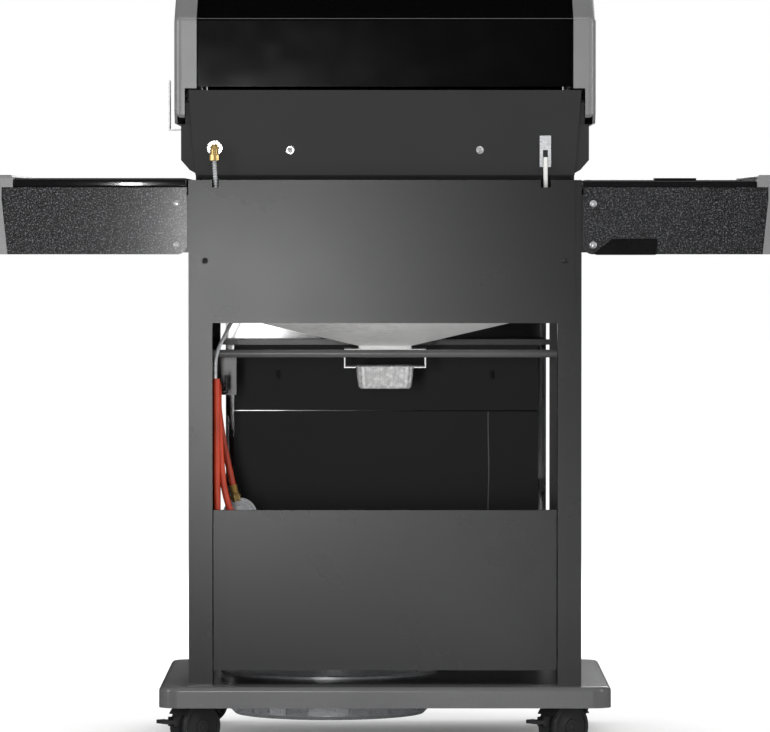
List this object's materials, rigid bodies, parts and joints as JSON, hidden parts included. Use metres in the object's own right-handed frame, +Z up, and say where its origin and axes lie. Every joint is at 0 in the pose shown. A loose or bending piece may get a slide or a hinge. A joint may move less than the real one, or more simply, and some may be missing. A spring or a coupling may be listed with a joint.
{
  "type": "gas barbecue grill",
  "caption": "Cabinet gas barbecue grill on casters with a hinged hood, side shelves, tap knobs, a door and a gas hose at the open back.",
  "frame": {"origin": "on the floor under the middle of the whole object", "axes": "+X to the cook's right along the shelves, +Y from the cook to the back, +Z up"},
  "size_m": [1.3, 0.64, 1.23],
  "materials": {
    "brass": "machined brass",
    "cast_grey": "painted cast aluminium, satin grey",
    "caster_plastic": "dark grey moulded plastic",
    "chrome": "polished chrome",
    "foil": "pressed foil",
    "frame_black": "satin black powder coat",
    "frame_grey": "satin gunmetal paint",
    "gloss_trim": "gloss black paint",
    "hose_orange": "orange-red rubber hose",
    "iron": "seasoned cast iron",
    "knob_black": "black moulded plastic with a satin bezel",
    "lead_white": "white insulated lead",
    "lid_black": "gloss black enamel",
    "panel_grey": "matt dark grey enamel",
    "stainless": "brushed stainless steel",
    "wrinkle_black": "black hammer finish",
    "zinc": "zinc plated steel"
  },
  "bodies": {
    "cart": {"base_shelf": "frame_grey", "tank_recess": "zinc", "cabinet_posts": "frame_black", "side_panels": "frame_black", "rear_cover": "frame_black", "lower_rear_panel": "frame_black", "cabinet_rail": "chrome", "control_panel": "frame_black", "gas_manifold": "zinc", "burner_tubes": "stainless", "flame_tamers": "stainless", "cooking_grids": "iron", "warming_rack": "chrome", "rear_burner": "stainless", "rear_gas_elbow": "brass", "rear_gas_line": "zinc", "igniter_bracket": "zinc", "igniter_lead": "lead_white", "end_castings": "panel_grey", "firebox_walls": "panel_grey", "firebox_back_panel": "panel_grey", "drip_funnel": "stainless", "shelf_brackets": "frame_black", "rotisserie_bracket": "stainless", "gas_hose": "hose_orange", "gas_feed_pipe": "zinc", "hose_fittings": "brass", "regulator": "zinc", "frame_screws": "chrome", "shelf_right_frame": "wrinkle_black", "shelf_right_top": "stainless", "shelf_right_end": "cast_grey"},
    "lid": {"lid_shell": "lid_black", "lid_end_caps": "cast_grey", "lid_handle": "stainless", "thermometer": "stainless"},
    "door": {"door_panel": "gloss_trim", "door_liner": "panel_grey", "door_handle": "stainless", "match_chain": "chrome"},
    "folding_shelf": {"shelf_left_frame": "wrinkle_black", "shelf_left_top": "gloss_trim", "shelf_left_end": "cast_grey"},
    "fold_latch": {"shelf_latch": "gloss_trim"},
    "cup": {"grease_cup": "foil"},
    "igniter_button": {"ignition_button": "knob_black"},
    "burner_knob_1": {"knob_1": "knob_black"},
    "burner_knob_2": {"knob_2": "knob_black"},
    "burner_knob_3": {"knob_3": "knob_black"},
    "burner_knob_4": {"knob_4": "knob_black"},
    "fork_front_left": {"caster_fork_front_left": "caster_plastic"},
    "wheel_front_left": {"caster_wheel_front_left": "caster_plastic"},
    "fork_front_right": {"caster_fork_front_right": "caster_plastic"},
    "wheel_front_right": {"caster_wheel_front_right": "caster_plastic"},
    "fork_rear_left": {"caster_fork_rear_left": "caster_plastic"},
    "wheel_rear_left": {"caster_wheel_rear_left": "caster_plastic"},
    "brake_rear_left": {"brake_pedal_rear_left": "caster_plastic"},
    "fork_rear_right": {"caster_fork_rear_right": "caster_plastic"},
    "wheel_rear_right": {"caster_wheel_rear_right": "caster_plastic"},
    "brake_rear_right": {"brake_pedal_rear_right": "caster_plastic"}
  },
  "joints": [
    {"name": "lid_hinge", "type": "hinge", "parent": "cart", "child": "lid", "pos_m": [0, 0.253, 1.03], "axis": [-1, 0, 0], "range_deg": [0, 90]},
    {"name": "door_hinge", "type": "hinge", "parent": "cart", "child": "door", "pos_m": [-0.262, -0.184, 0.38], "axis": [0, 0, -1], "range_deg": [0, 100]},
    {"name": "shelf_fold", "type": "hinge", "parent": "cart", "child": "folding_shelf", "pos_m": [-0.333, 0.02, 0.81], "axis": [0, -1, 0], "range_deg": [0, 90]},
    {"name": "latch_turn", "type": "hinge", "parent": "folding_shelf", "child": "fold_latch", "pos_m": [-0.38, 0.29, 0.808], "axis": [0, 1, 0], "range_deg": [0, 15]},
    {"name": "cup_slide", "type": "slide", "parent": "cart", "child": "cup", "axis": [0, 1, 0], "range_m": [0, 0.12]},
    {"name": "button_press", "type": "slide", "parent": "cart", "child": "igniter_button", "axis": [0, 1, 0], "range_m": [0, 0.003], "stiffness_N_per_m": 400},
    {"name": "knob_1_turn", "type": "hinge", "parent": "cart", "child": "burner_knob_1", "pos_m": [-0.198, -0.285, 0.83], "axis": [0, 1, 0], "range_deg": [-135, 0]},
    {"name": "knob_2_turn", "type": "hinge", "parent": "cart", "child": "burner_knob_2", "pos_m": [-0.066, -0.285, 0.83], "axis": [0, 1, 0], "range_deg": [-135, 0]},
    {"name": "knob_3_turn", "type": "hinge", "parent": "cart", "child": "burner_knob_3", "pos_m": [0.066, -0.285, 0.83], "axis": [0, 1, 0], "range_deg": [-135, 0]},
    {"name": "knob_4_turn", "type": "hinge", "parent": "cart", "child": "burner_knob_4", "pos_m": [0.198, -0.285, 0.83], "axis": [0, 1, 0], "range_deg": [-135, 0]},
    {"name": "swivel_front_left", "type": "hinge", "parent": "cart", "child": "fork_front_left", "pos_m": [-0.296, -0.205, 0.09], "axis": [0, 0, 1], "continuous": true},
    {"name": "roll_front_left", "type": "hinge", "parent": "fork_front_left", "child": "wheel_front_left", "pos_m": [-0.30583, -0.21188, 0.037], "axis": [0.5736, -0.8192, 0], "continuous": true},
    {"name": "swivel_front_right", "type": "hinge", "parent": "cart", "child": "fork_front_right", "pos_m": [0.296, -0.205, 0.09], "axis": [0, 0, 1], "continuous": true},
    {"name": "roll_front_right", "type": "hinge", "parent": "fork_front_right", "child": "wheel_front_right", "pos_m": [0.30583, -0.21188, 0.037], "axis": [0.5736, 0.8192, 0], "continuous": true},
    {"name": "swivel_rear_left", "type": "hinge", "parent": "cart", "child": "fork_rear_left", "pos_m": [-0.296, 0.255, 0.09], "axis": [0, 0, 1], "continuous": true},
    {"name": "roll_rear_left", "type": "hinge", "parent": "fork_rear_left", "child": "wheel_rear_left", "pos_m": [-0.28681, 0.26271, 0.037], "axis": [-0.6428, 0.766, 0], "continuous": true},
    {"name": "brake_rear_left_press", "type": "hinge", "parent": "fork_rear_left", "child": "brake_rear_left", "pos_m": [-0.25233, 0.29164, 0.047], "axis": [-0.6428, 0.766, 0], "range_deg": [0, 18]},
    {"name": "swivel_rear_right", "type": "hinge", "parent": "cart", "child": "fork_rear_right", "pos_m": [0.296, 0.255, 0.09], "axis": [0, 0, 1], "continuous": true},
    {"name": "roll_rear_right", "type": "hinge", "parent": "fork_rear_right", "child": "wheel_rear_right", "pos_m": [0.30519, 0.26271, 0.037], "axis": [-0.6428, 0.766, 0], "continuous": true},
    {"name": "brake_rear_right_press", "type": "hinge", "parent": "fork_rear_right", "child": "brake_rear_right", "pos_m": [0.33966, 0.29164, 0.047], "axis": [-0.6428, 0.766, 0], "range_deg": [0, 18]}
  ]
}
